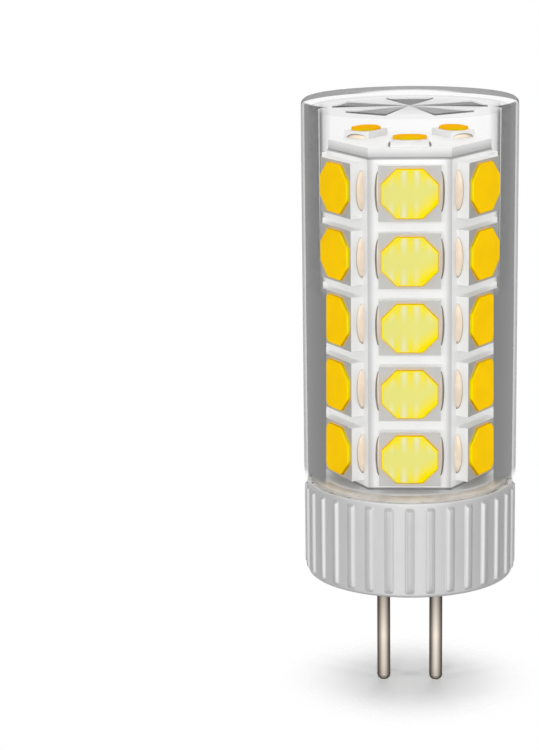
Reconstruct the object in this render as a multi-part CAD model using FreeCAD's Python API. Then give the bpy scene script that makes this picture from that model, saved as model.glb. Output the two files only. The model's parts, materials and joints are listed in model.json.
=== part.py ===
import FreeCAD, Part
import math
import os

V = FreeCAD.Vector
UP = V(0, 0, 1)
AXIS = V(0, 0, 0)

# Overall sizes, in millimetres
COVER_DIAMETER = 16.0
BODY_HEIGHT = 36.0
PIN_LENGTH = 9.0
PIN_SPACING = 4.0
PIN_DIAMETER = 1.0

# Cover
COVER_WALL = 0.6
COVER_CEILING = 0.65
COVER_TOP_RADIUS = 0.5
COVER_FOOT_EDGE = 0.2
CORNER_STEPS = 3
STAR_POINTS = 5
STAR_START_DEG = 90
STAR_INSET = 1.7
STAR_DROP = 0.12

# Base
BASE_HEIGHT = 7.2
SPIGOT_HEIGHT = 0.4
RIB_COUNT = 32
RIB_FOOT_WIDTH = 0.7
RIB_CROWN_WIDTH = 0.4
RIB_HEIGHT = 0.22
RIB_INSET = 0.03
RIB_ROOT = 0.1
RIM_HEIGHT = 0.3
BASE_EDGE = 0.25
POCKET_INSET = 0.07
FLOOR_THICKNESS = 1.8
PIN_HOLE_CLEARANCE = 0.05
ADHESIVE_WIDTH = 0.8
ADHESIVE_INNER_HEIGHT = 0.32
ADHESIVE_OUTER_HEIGHT = 0.2

# Pins
PIN_TIP_RADIUS = 0.35
PIN_SHANK_STEP = 0.2
COLLAR_STEP = 0.3
COLLAR_HEIGHT = 0.3
TAIL_DIAMETER = 0.6
TAIL_LENGTH = 3.1
TAIL_FLAT_Y = 0.2

# Six-sided LED column
FACES = 6
COLUMN_CLEARANCE = 2.13
BOARD_THICKNESS = 0.8
HEAD_SPACE = 3.85
SEAM_CORNER = 2
SEAM_WIDTH = 0.15
TOP_BOARD_INSET = 0.07
TOP_BOARD_THICKNESS = 0.75

# Side LEDs
LED_ROWS = 5
LED_TOP_MARGIN = 2.4
LED_BOTTOM_MARGIN = 2.57
LED_ROW_GAP = 0.86
LED_WIDTH = 4.5
LED_THICKNESS = 0.95
WINDOW_SIDE_BORDER = 0.19
WINDOW_END_BORDER = 0.22
WINDOW_CUT = 1.1
FILLET_LENGTH = 3.0
FILLET_REACH = 0.27
FILLET_RISE = 0.5
WINDOW_PROUD = 0.25

# Top LEDs
TOP_LEDS = 3
TOP_LED_EDGE = 0.4
TOP_LED_WIDTH = 2.75
TOP_LED_DEPTH = 2.1
TOP_LED_THICKNESS = 0.5
TOP_WINDOW_BORDER = 0.15
TOP_WINDOW_CUT = 0.6
TOP_WINDOW_PROUD = 0.23
TOP_FILLET_LENGTH = 1.7
TOP_FILLET_REACH = 0.2
TOP_FILLET_RISE = 0.3

# All LEDs
WINDOW_SINK = 0.3
WINDOW_BEVEL = 0.08
FILLET_STEPS = 4

# Driver
DRIVER_SIDE_GAP = 0.4
DRIVER_THICKNESS = 0.8
DRIVER_HEIGHT = 17.9
SOLDER_FOOT_WIDTH = 2.0
SOLDER_CROWN_WIDTH = 1.3
SOLDER_HEIGHT = 1.0
SOLDER_LENGTH = 2.2
LEAD_DIAMETER = 0.8
LEAD_SPACING = 5.6
LEAD_LAP = 3.0
BRIDGE_SIZE = (4.7, 1.5, 3.9)
BRIDGE_Z = 5.3
IC_SIZE = (3.9, 1.4, 4.9)
IC_Z = 11.2
IC_LEGS_A_SIDE = 4
IC_LEG = (0.9, 0.25, 0.42)
IC_LEG_PITCH = 1.27
INDUCTOR_SIZE = (4.0, 2.2, 4.0)
INDUCTOR_EDGE = 0.6
INDUCTOR_Z = 8.6
CAPACITOR_DIAMETER = 4.0
CAPACITOR_LENGTH = 6.0
CAPACITOR_Z = 12.0
DIODE_SIZE = (2.7, 1.1, 1.6)
DIODE_Z = 15.6
RESISTOR_SIZE = (2.0, 0.5, 1.25)
RESISTOR_Z = 18.4
RESISTOR_OFFSET_X = 1.7

# Derived sizes of the cover and the base
COVER_RADIUS = COVER_DIAMETER / 2
COVER_BORE = COVER_RADIUS - COVER_WALL
CEILING_Z = BODY_HEIGHT - COVER_CEILING
STAR_RADIUS = COVER_BORE - STAR_INSET
RIB_RADIUS = COVER_RADIUS - RIB_INSET
CORE_RADIUS = RIB_RADIUS - RIB_HEIGHT
SPIGOT_RADIUS = COVER_BORE - ADHESIVE_WIDTH
SPIGOT_Z = BASE_HEIGHT + SPIGOT_HEIGHT

# Derived sizes of the column and its LEDs
COLUMN_APOTHEM = COVER_BORE - COLUMN_CLEARANCE
COLUMN_TOP_Z = BODY_HEIGHT - HEAD_SPACE
POCKET_RADIUS = COLUMN_APOTHEM - BOARD_THICKNESS - POCKET_INSET
LED_TOP_ROW_Z = COLUMN_TOP_Z - LED_TOP_MARGIN
LED_BOTTOM_ROW_Z = SPIGOT_Z + LED_BOTTOM_MARGIN
LED_PITCH = (LED_TOP_ROW_Z - LED_BOTTOM_ROW_Z) / (LED_ROWS - 1)
LED_HEIGHT = LED_PITCH - LED_ROW_GAP
WINDOW_WIDTH = LED_WIDTH - 2 * WINDOW_SIDE_BORDER
WINDOW_HEIGHT = LED_HEIGHT - 2 * WINDOW_END_BORDER
TOP_BOARD_APOTHEM = COLUMN_APOTHEM - TOP_BOARD_INSET
TOP_BOARD_Z = COLUMN_TOP_Z + TOP_BOARD_THICKNESS
TOP_LED_RING = TOP_BOARD_APOTHEM - TOP_LED_EDGE - TOP_LED_DEPTH / 2
TOP_WINDOW_WIDTH = TOP_LED_WIDTH - 2 * TOP_WINDOW_BORDER
TOP_WINDOW_DEPTH = TOP_LED_DEPTH - 2 * TOP_WINDOW_BORDER

# Derived sizes of the pins and the driver
PIN_RADIUS = PIN_DIAMETER / 2
SHANK_RADIUS = PIN_RADIUS + PIN_SHANK_STEP
PIN_HOLE_RADIUS = SHANK_RADIUS + PIN_HOLE_CLEARANCE
COLLAR_RADIUS = SHANK_RADIUS + COLLAR_STEP
COLLAR_Z = FLOOR_THICKNESS + COLLAR_HEIGHT
TAIL_RADIUS = TAIL_DIAMETER / 2
TAIL_Z = COLLAR_Z + TAIL_LENGTH
DRIVER_WIDTH = 2 * (POCKET_RADIUS - DRIVER_SIDE_GAP)
DRIVER_FRONT_Y = TAIL_FLAT_Y
DRIVER_BACK_Y = DRIVER_FRONT_Y + DRIVER_THICKNESS
DRIVER_TOP_Z = COLLAR_Z + DRIVER_HEIGHT


def prism(points, height):
    wire = Part.makePolygon([V(*p) for p in points] + [V(*points[0])])
    return Part.Face(wire).extrude(UP * height)


def box(size, centre_x, y_min, z_min):
    corner = V(centre_x - size[0] / 2, y_min, z_min)
    return Part.makeBox(size[0], size[1], size[2], corner)


def revolve(outline):
    wire = Part.makePolygon([V(r, 0, z) for r, z in outline + [outline[0]]])
    return Part.Face(wire).revolve(AXIS, UP, 360)


# Points of a rounded outer corner in a few flats, from its vertical side to its end face
def rounded(side, end, radius, inward):
    points = []
    for i in range(CORNER_STEPS + 1):
        angle = math.pi / 2 * i / CORNER_STEPS
        r = side - radius * (1 - math.cos(angle))
        points.append((r, end + inward * radius * (1 - math.sin(angle))))
    return points


def turned(shape, degrees):
    copy = shape.copy()
    copy.rotate(AXIS, UP, degrees)
    return copy


def moved(shape, x, y, z):
    copy = shape.copy()
    copy.translate(V(x, y, z))
    return copy


def hexagon(apothem):
    radius = apothem / math.cos(math.pi / FACES)
    step = 2 * math.pi / FACES
    return [(radius * math.cos(step * i), radius * math.sin(step * i), 0) for i in range(FACES)]


def octagon(width, height, cut):
    x = width / 2
    y = height / 2
    return [
        (x - cut, -y, 0), (x, -y + cut, 0), (x, y - cut, 0), (x - cut, y, 0),
        (-x + cut, y, 0), (-x, y - cut, 0), (-x, -y + cut, 0), (-x + cut, -y, 0),
    ]


# Cover: a tube with a closed rounded top
def cover_shell():
    foot = COVER_FOOT_EDGE
    outline = [(COVER_BORE, BASE_HEIGHT), (COVER_RADIUS - foot, BASE_HEIGHT)]
    outline += [(COVER_RADIUS, BASE_HEIGHT + foot)]
    outline += rounded(COVER_RADIUS, BODY_HEIGHT, COVER_TOP_RADIUS, -1)
    outline += [(0, BODY_HEIGHT), (0, CEILING_Z)]
    outline += [(COVER_BORE - foot, CEILING_Z), (COVER_BORE, CEILING_Z - foot)]
    return revolve(outline)


# One star facet: a wedge that deepens from the centre outwards
def star_wedge(middle_deg):
    half = math.pi / (2 * STAR_POINTS)
    middle = math.radians(middle_deg)
    rim = [(STAR_RADIUS * math.cos(a), STAR_RADIUS * math.sin(a)) for a in (middle - half, middle + half)]
    centre = V(0, 0, CEILING_Z)
    high = [V(x, y, CEILING_Z) for x, y in rim]
    low = [V(x, y, CEILING_Z - STAR_DROP) for x, y in rim]
    loops = [
        [centre, high[0], high[1]],
        [centre, low[1], low[0]],
        [centre, low[0], high[0]],
        [centre, high[1], low[1]],
        [high[0], low[0], low[1], high[1]],
    ]
    faces = [Part.Face(Part.makePolygon(loop + [loop[0]])) for loop in loops]
    return Part.Solid(Part.Shell(faces))


def clear_cover():
    shape = cover_shell()
    for i in range(STAR_POINTS):
        shape = shape.fuse(star_wedge(STAR_START_DEG + 360 * i / STAR_POINTS))
    return shape.removeSplitter()


# Adhesive bead that slopes from the spigot down to the cover
def cover_adhesive():
    return revolve([
        (SPIGOT_RADIUS, BASE_HEIGHT),
        (COVER_BORE, BASE_HEIGHT),
        (COVER_BORE, BASE_HEIGHT + ADHESIVE_OUTER_HEIGHT),
        (SPIGOT_RADIUS, BASE_HEIGHT + ADHESIVE_INNER_HEIGHT),
    ])


# One moulded rib on the front of the base, with sloping flanks and ends
def base_rib():
    foot = RIB_FOOT_WIDTH / 2
    crown = RIB_CROWN_WIDTH / 2
    low = RIM_HEIGHT
    high = BASE_HEIGHT - RIM_HEIGHT
    slope = RIB_HEIGHT + RIB_ROOT
    rib = Part.makeWedge(-foot, 0, low, low + slope, -crown, foot, slope, high, high - slope, crown)
    rib.rotate(AXIS, UP, 180)
    return moved(rib, 0, -CORE_RADIUS + RIB_ROOT, 0)


def ceramic_base():
    edge = BASE_EDGE
    shape = revolve([
        (0, 0), (CORE_RADIUS - edge, 0), (CORE_RADIUS, edge), (CORE_RADIUS, BASE_HEIGHT),
        (SPIGOT_RADIUS, BASE_HEIGHT), (SPIGOT_RADIUS, SPIGOT_Z), (0, SPIGOT_Z),
    ])
    shape = shape.fuse([turned(base_rib(), 360 * i / RIB_COUNT) for i in range(RIB_COUNT)])
    shape = shape.cut(Part.makeCylinder(POCKET_RADIUS, SPIGOT_Z, V(0, 0, FLOOR_THICKNESS)))
    for x in (-PIN_SPACING / 2, PIN_SPACING / 2):
        shape = shape.cut(Part.makeCylinder(PIN_HOLE_RADIUS, FLOOR_THICKNESS, V(x, 0, 0)))
    return shape.removeSplitter()


# Pin: rounded tip, thicker shank in the base, collar that rests on the base's floor, flattened tail
def contact_pin(x):
    low = -PIN_LENGTH
    outline = [(0, TAIL_Z), (0, low)] + rounded(PIN_RADIUS, low, PIN_TIP_RADIUS, 1)[::-1]
    outline += [(PIN_RADIUS, 0), (SHANK_RADIUS, 0), (SHANK_RADIUS, FLOOR_THICKNESS)]
    outline += [(COLLAR_RADIUS, FLOOR_THICKNESS), (COLLAR_RADIUS, COLLAR_Z)]
    outline += [(TAIL_RADIUS, COLLAR_Z), (TAIL_RADIUS, TAIL_Z)]
    flat = box((TAIL_DIAMETER, TAIL_RADIUS, TAIL_LENGTH), 0, TAIL_FLAT_Y, COLLAR_Z)
    return moved(revolve(outline).cut(flat), x, 0, 0)


# LED column: a six-sided tube folded from one sheet, open at a rear seam
def led_board():
    height = COLUMN_TOP_Z - SPIGOT_Z
    outside = prism(hexagon(COLUMN_APOTHEM), height)
    inside = prism(hexagon(COLUMN_APOTHEM - BOARD_THICKNESS), height)
    seam = Part.makeBox(COVER_RADIUS, SEAM_WIDTH, height, V(0, -SEAM_WIDTH / 2, 0))
    seam = turned(seam, SEAM_CORNER * 360 / FACES)
    return moved(outside.cut(inside).cut(seam), 0, 0, SPIGOT_Z)


def top_board():
    return moved(prism(hexagon(TOP_BOARD_APOTHEM), TOP_BOARD_THICKNESS), 0, 0, COLUMN_TOP_Z)


# One LED lying flat with its foot at z = 0
def led_package(width, depth, thickness, window):
    body = Part.makeBox(width, depth, thickness, V(-width / 2, -depth / 2, 0))
    recess = moved(prism(octagon(*window), WINDOW_SINK), 0, 0, thickness - WINDOW_SINK)
    return body.cut(recess)


def led_phosphor(thickness, window, proud):
    shape = prism(octagon(*window), WINDOW_SINK + proud)
    top = max(shape.Faces, key=lambda face: face.CenterOfMass.z)
    return moved(shape.makeChamfer(WINDOW_BEVEL, top.Edges), 0, 0, thickness - WINDOW_SINK)


# Solder fillet beside an LED: a bow-shaped pad with a sloping outer face
def solder_fillet(half_width, length, reach, rise):
    radius = (length * length / 4 + reach * reach) / (2 * reach)
    sweep = math.asin(length / 2 / radius)
    foot = []
    for i in range(FILLET_STEPS + 1):
        angle = sweep * (2 * i / FILLET_STEPS - 1)
        foot.append((half_width + radius * math.cos(angle) - radius + reach, radius * math.sin(angle), 0))
    return prism(foot, rise)


def fillet_pair(half_width, length, reach, rise):
    right = solder_fillet(half_width, length, reach, rise)
    return [right, turned(right, 180)]


# Places flat-lying pieces on one face of the column, one set a row
def on_face(pieces, face):
    placed = []
    for row in range(LED_ROWS):
        for piece in pieces:
            copy = piece.copy()
            copy.rotate(AXIS, V(1, 0, 0), 90)
            copy.translate(V(0, -COLUMN_APOTHEM, LED_TOP_ROW_Z - row * LED_PITCH))
            placed.append(turned(copy, 360 * face / FACES))
    return Part.makeCompound(placed)


def on_top(pieces):
    placed = []
    for i in range(TOP_LEDS):
        for piece in pieces:
            placed.append(turned(moved(piece, 0, -TOP_LED_RING, TOP_BOARD_Z), 360 * i / TOP_LEDS))
    return Part.makeCompound(placed)


# Driver: an upright board that stands on the pin collars
def driver_board():
    size = (DRIVER_WIDTH, DRIVER_THICKNESS, DRIVER_HEIGHT)
    return box(size, 0, DRIVER_FRONT_Y, COLLAR_Z)


def pin_solder():
    foot = SOLDER_FOOT_WIDTH / 2
    crown = SOLDER_CROWN_WIDTH / 2
    z = COLLAR_Z + (TAIL_LENGTH - SOLDER_LENGTH) / 2
    outline = [(-foot, 0, 0), (-crown, -SOLDER_HEIGHT, 0), (crown, -SOLDER_HEIGHT, 0), (foot, 0, 0)]
    joints = []
    for x in (-PIN_SPACING / 2, PIN_SPACING / 2):
        bead = moved(prism(outline, SOLDER_LENGTH), x, TAIL_FLAT_Y, z)
        joints.append(bead.cut(Part.makeCylinder(TAIL_RADIUS, SOLDER_LENGTH, V(x, 0, z))))
    return Part.makeCompound(joints)


def bridge_rectifier():
    return box(BRIDGE_SIZE, 0, DRIVER_BACK_Y, BRIDGE_Z - BRIDGE_SIZE[2] / 2)


def driver_ic():
    shape = box(IC_SIZE, 0, DRIVER_BACK_Y, IC_Z - IC_SIZE[2] / 2)
    for side in (-1, 1):
        for i in range(IC_LEGS_A_SIDE):
            x = side * (IC_SIZE[0] + IC_LEG[0]) / 2
            z = IC_Z + (i - (IC_LEGS_A_SIDE - 1) / 2) * IC_LEG_PITCH - IC_LEG[2] / 2
            shape = shape.fuse(box(IC_LEG, x, DRIVER_BACK_Y, z))
    return shape.removeSplitter()


def inductor():
    width, depth, height = INDUCTOR_SIZE
    shape = prism(octagon(width, height, INDUCTOR_EDGE), depth)
    shape.rotate(AXIS, V(1, 0, 0), 90)
    return moved(shape, 0, DRIVER_FRONT_Y, INDUCTOR_Z)


def smoothing_capacitor():
    radius = CAPACITOR_DIAMETER / 2
    return Part.makeCylinder(radius, CAPACITOR_LENGTH, V(0, DRIVER_FRONT_Y - radius, CAPACITOR_Z))


def freewheel_diode():
    return box(DIODE_SIZE, 0, DRIVER_BACK_Y, DIODE_Z - DIODE_SIZE[2] / 2)


def sense_resistors():
    z = RESISTOR_Z - RESISTOR_SIZE[2] / 2
    return Part.makeCompound([
        box(RESISTOR_SIZE, x, DRIVER_BACK_Y, z) for x in (-RESISTOR_OFFSET_X, RESISTOR_OFFSET_X)
    ])


def lead(x):
    radius = LEAD_DIAMETER / 2
    z = DRIVER_TOP_Z - LEAD_LAP
    return Part.makeCylinder(radius, COLUMN_TOP_Z - z, V(x, DRIVER_FRONT_Y - radius, z))


def build():
    window = (WINDOW_WIDTH, WINDOW_HEIGHT, WINDOW_CUT)
    package = led_package(LED_WIDTH, LED_HEIGHT, LED_THICKNESS, window)
    phosphor = led_phosphor(LED_THICKNESS, window, WINDOW_PROUD)
    fillets = fillet_pair(LED_WIDTH / 2, FILLET_LENGTH, FILLET_REACH, FILLET_RISE)
    top_window = (TOP_WINDOW_WIDTH, TOP_WINDOW_DEPTH, TOP_WINDOW_CUT)
    top_package = led_package(TOP_LED_WIDTH, TOP_LED_DEPTH, TOP_LED_THICKNESS, top_window)
    top_phosphor = led_phosphor(TOP_LED_THICKNESS, top_window, TOP_WINDOW_PROUD)
    top_fillets = fillet_pair(TOP_LED_WIDTH / 2, TOP_FILLET_LENGTH, TOP_FILLET_REACH, TOP_FILLET_RISE)
    nodes = {
        "clear_cover": clear_cover(),
        "cover_adhesive": cover_adhesive(),
        "ceramic_base": ceramic_base(),
        "contact_pin_left": contact_pin(-PIN_SPACING / 2),
        "contact_pin_right": contact_pin(PIN_SPACING / 2),
        "led_board": led_board(),
        "top_board": top_board(),
        "led_packages_top": on_top([top_package]),
        "led_phosphor_top": on_top([top_phosphor]),
        "solder_fillets_top": on_top(top_fillets),
        "driver_board": driver_board(),
        "pin_solder": pin_solder(),
        "bridge_rectifier": bridge_rectifier(),
        "driver_ic": driver_ic(),
        "inductor": inductor(),
        "smoothing_capacitor": smoothing_capacitor(),
        "freewheel_diode": freewheel_diode(),
        "sense_resistors": sense_resistors(),
        "lead_positive": lead(LEAD_SPACING / 2),
        "lead_negative": lead(-LEAD_SPACING / 2),
    }
    for face in range(FACES):
        name = "face_%d" % (face + 1)
        nodes["led_packages_" + name] = on_face([package], face)
        nodes["led_phosphor_" + name] = on_face([phosphor], face)
        nodes["solder_fillets_" + name] = on_face(fillets, face)
    return nodes


os.makedirs("parts", exist_ok=True)
for node, shape in build().items():
    shape.exportStep("parts/" + node + ".step")
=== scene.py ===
import json
import math

import bpy
from mathutils import Matrix, Vector


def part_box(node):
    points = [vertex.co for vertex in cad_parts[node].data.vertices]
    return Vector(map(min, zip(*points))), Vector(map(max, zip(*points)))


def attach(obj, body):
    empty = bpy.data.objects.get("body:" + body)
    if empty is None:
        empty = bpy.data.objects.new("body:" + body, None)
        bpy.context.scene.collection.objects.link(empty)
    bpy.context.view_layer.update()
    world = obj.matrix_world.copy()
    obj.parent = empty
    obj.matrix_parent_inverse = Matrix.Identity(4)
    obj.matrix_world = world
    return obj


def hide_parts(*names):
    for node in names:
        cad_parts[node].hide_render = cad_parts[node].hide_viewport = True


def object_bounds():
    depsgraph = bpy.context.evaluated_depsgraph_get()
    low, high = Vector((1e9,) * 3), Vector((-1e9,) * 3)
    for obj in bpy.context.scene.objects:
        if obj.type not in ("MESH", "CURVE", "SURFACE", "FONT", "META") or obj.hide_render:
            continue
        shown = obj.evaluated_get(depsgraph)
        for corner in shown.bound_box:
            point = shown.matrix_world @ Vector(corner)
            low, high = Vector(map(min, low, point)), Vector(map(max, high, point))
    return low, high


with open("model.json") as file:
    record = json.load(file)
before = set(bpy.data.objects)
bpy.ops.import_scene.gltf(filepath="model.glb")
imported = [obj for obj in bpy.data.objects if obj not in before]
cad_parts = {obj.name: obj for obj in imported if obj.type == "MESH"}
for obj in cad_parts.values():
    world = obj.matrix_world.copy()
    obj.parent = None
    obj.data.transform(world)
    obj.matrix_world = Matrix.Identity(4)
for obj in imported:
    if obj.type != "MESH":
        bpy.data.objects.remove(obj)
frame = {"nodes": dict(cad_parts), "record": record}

CAD_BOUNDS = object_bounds()
NODES = frame["nodes"]
MM = 0.001
UP = Vector((0, 0, 1))
WHITE = (1.0, 1.0, 1.0, 1.0)
NOISE_SPAN = (0.3, 0.7)
GRAIN_DEPTH = 0.02

# Camera, found from the rims and rows of the bulb in the photograph
CAMERA_PLACE_MM = (0.0, -175.61, 55.02)
CAMERA_YAW_DEG = -3.443
CAMERA_PITCH_DEG = 12.791
CAMERA_ROLL_DEG = -0.7655
CAMERA_LENS_MM = 114.729
CAMERA_SENSOR_MM = 36.0

# Cover, in millimetres as all sizes of the bulb
COVER_TOP_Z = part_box("clear_cover")[1].z / MM
COVER_SEGMENTS = 200
COVER_WALL = 0.6
COVER_CEILING = 0.65
COVER_TOP_RADIUS = 0.5
COVER_FOOT_RADIUS = 0.25
COVER_INNER_RADIUS = 0.15
ARC_STEPS = 8
STAR_POINTS = 5
STAR_RADIUS = 5.7
STAR_DROP = 0.12
STAR_START_DEG = 90.0

# How much light the cover's surfaces let through, by how far they turn from the eye: partly the plastic's
# own absorption, partly painted shade and painted reflection (grey bands, pale rim lines, dark star facets
# and edges) standing in for dark surroundings
CLEAR = [(0.0, 1.0), (1.0, 1.0)]
WALL_NEAR = [(0.0, 1.0), (0.443, 1.0), (0.457, 0.23), (0.6, 0.25), (0.735, 0.27), (0.765, 0.66),
             (0.79, 0.60), (0.84, 0.46), (0.90, 0.40), (1.0, 0.36)]
WALL_FAR = [(0.0, 1.0), (0.32, 1.0), (0.40, 0.68), (0.43, 0.26), (0.446, 0.26), (0.46, 1.0), (1.0, 1.0)]
WALL_MIRROR = [(0.0, 1.0), (0.735, 1.0), (0.765, 0.0), (1.0, 0.0)]
RIM_FAR = [(0.0, 1.0), (0.06, 0.95), (0.16, 0.32), (1.0, 0.27)]
RING = [(0.0, 0.92), (1.0, 0.92)]
EDGE_NEAR = [(0.0, 0.45), (1.0, 0.45)]
EDGE_FAR = [(0.0, 0.75), (1.0, 0.75)]
FACET = [(0.0, 0.85), (0.4, 0.75), (0.8, 0.64), (0.872, 0.40), (0.897, 0.26), (0.915, 0.22), (1.0, 0.22)]

# Where the cover's tints start, fade and end, by turn, height or radius
WALL_START = (0.5, 0.7)
MIRROR_START = (0.758, 0.771)
MIRROR_TURN = (0.38, 0.735)
MIRROR_LEVEL = (0.22, 0.29)
MIRROR_STEP_Z = (21.9, 23.1)
BELOW_ALL_Z = -9.0
ABOVE_ALL_Z = 99.0
BAND_FOOT_Z = 7.6
BAND_FOOT_FADE = 0.9
RIM_BAND_Z = 35.86
RIM_FADE = 0.08
FAR_FADE = (1.4, 0.2)
STAR_FADE = (0.5, 5.0)
WALL_GRAIN = (1.0, 1.0, 0.15)

# Brightness of a pin by how far it turns from the eye, and along its length: a painted highlight where it
# faces the eye, painted shade at its edges, painted shade near the base and darker towards the tip
PIN_EDGE_SHADE = [(0.0, 1.0), (0.05, 1.0), (0.095, 0.8), (0.17, 0.5), (0.33, 0.22), (0.7, 0.17), (1.0, 0.17)]
PIN_END_SHADE = [(0.0, 0.4), (0.24, 0.5), (0.33, 0.62), (0.44, 0.77), (0.59, 1.0), (0.73, 0.86), (0.88, 0.76),
            (1.0, 0.5)]
PIN_GRAIN = (1.0, 1.0, 0.03)

# How much of the glaze's haze shows, by how far the surface turns from the eye: a painted sheen, strongest
# head-on and gone at the sides
PAINTED_GLAZE_SHEEN = [(0.0, 0.58), (0.032, 0.54), (0.057, 0.45), (0.108, 0.25), (0.196, 0.15), (0.35, 0.0), (1.0, 0.0)]

# How far LED windows and bodies turn before their painted sheen is gone, and the streaks in a window
PAINTED_SHEEN_TURN = (0.12, 0.36)
WINDOW_WAVES = 14.0
WINDOW_WAVE_SHIFT = 1.2
STREAK_SHARE = 0.9
WINDOW_HAZE = 0.93

# Base
BASE_RADIUS = 8.0
RIB_COUNT = 32
RIB_HALF_WIDTH = 0.38
RIB_FLANK = 0.28
RIB_END = 0.32
RIB_HEIGHT = 0.22
RIB_STEPS = 10
RIB_END_STEPS = 8
VALLEY_STEPS = [0.41, 0.5, 0.62]
WALL_LEVELS = [1.2, 2.4, 3.6, 4.8, 6.0]
RIM_HEIGHT = 0.3
BASE_EDGE = 0.25
BASE_TOP_EDGE = 0.1
SPIGOT_EDGE = 0.06
BASE_HEIGHT = 7.2
SPIGOT_RADIUS = 6.6
POCKET_RADIUS = 4.4
FLOOR_THICKNESS = 1.8
PIN_SPACING = 4.0
PIN_LENGTH = 9.0
PIN_HOLE_RADIUS = 0.75
HOLE_SEGMENTS = 48
HOLE_REACH = 1.0

# Adhesive: steps inwards from the cover with the height at each
ADHESIVE_SEGMENTS = 180
ADHESIVE_PROFILE = [(0.0, 0.0), (0.0, 0.2), (0.12, 0.26), (0.3, 0.29), (0.55, 0.31)]
ADHESIVE_INNER_HEIGHT = 0.3
ADHESIVE_WAVY_FROM = 0.25
ADHESIVE_WOBBLE = 0.02

# Column and LEDs: a window is width, height, corner cut and rise, a fillet is length, reach and rise
FACES = 6
COLUMN_APOTHEM = 5.27
FACE_HALF_WIDTH = COLUMN_APOTHEM * math.tan(math.pi / FACES)
COLUMN_TOP_Z = 32.15
LED_ROWS = 5
LED_PITCH = 4.895
LED_TOP_ROW_Z = 29.75
LED_WIDTH = 4.5
LED_THICKNESS = 0.95
WINDOW = (4.12, 3.595, 1.1, 0.25)
FILLET = (3.0, 0.27, 0.5)
TOP_LEDS = 3
TOP_LED_RING = 3.75
TOP_LED_WIDTH = 2.75
TOP_LED_THICKNESS = 0.5
TOP_BOARD_Z = 32.9
TOP_WINDOW = (2.45, 1.8, 0.6, 0.23)
TOP_FILLET = (1.7, 0.2, 0.3)
WINDOW_SINK = 0.3
WINDOW_BEVEL = 0.09
WINDOW_BEVEL_STEPS = 4
WINDOW_EDGE_STEPS = 4
WINDOW_RINGS = (0.12, 0.2, 0.3, 0.45)
EDGE_BEVEL = 0.05

# Floor and light, in metres
FLOOR_SIZE = 2.0
FLOOR_WHITE = 0.8
FLOOR_BOUNCE = 0.2
FLOOR_FADE = (0.009, 0.0142)
FLOOR_GLOW = 0.22
LIT_POINT = (0, 0, 0.015)
WORLD_LEVEL = 0.1
KEY_POWER = 3.6
TOP_POWER = 3.6
SIDE_POWER = 0.9
BACK_POWER = 1.6


# Mesh building


def make_piece(name, verts, faces, material, replaced, sharp_deg=35.0):
    mesh = bpy.data.meshes.new(name)
    mesh.from_pydata([Vector(v) * MM for v in verts], [], faces)
    mesh.validate()
    mesh.shade_smooth()
    mesh.set_sharp_from_angle(angle=math.radians(sharp_deg))
    mesh.materials.append(material)
    piece = bpy.data.objects.new(name, mesh)
    bpy.context.scene.collection.objects.link(piece)
    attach(piece, "root")
    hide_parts(replaced)
    return piece


def arc(centre_r, centre_z, radius, start_deg, end_deg, steps=ARC_STEPS):
    points = []
    for i in range(steps + 1):
        a = math.radians(start_deg + (end_deg - start_deg) * i / steps)
        points.append((centre_r + radius * math.cos(a), centre_z + radius * math.sin(a)))
    return points


def ring(verts, radius, z, segments, start=0.0):
    first = len(verts)
    for i in range(segments):
        a = start + 2 * math.pi * i / segments
        verts.append((radius * math.cos(a), radius * math.sin(a), z))
    return list(range(first, first + segments))


def bridge(faces, low, high):
    count = len(low)
    for i in range(count):
        j = (i + 1) % count
        faces.append((low[i], low[j], high[j], high[i]))


def fan(faces, loop, tip):
    count = len(loop)
    for i in range(count):
        faces.append((loop[i], loop[(i + 1) % count], tip))


def lathe(verts, faces, profile, segments):
    rings = [ring(verts, r, z, segments) for r, z in profile]
    for low, high in zip(rings, rings[1:]):
        bridge(faces, low, high)
    return rings


# Shader nodes


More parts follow.
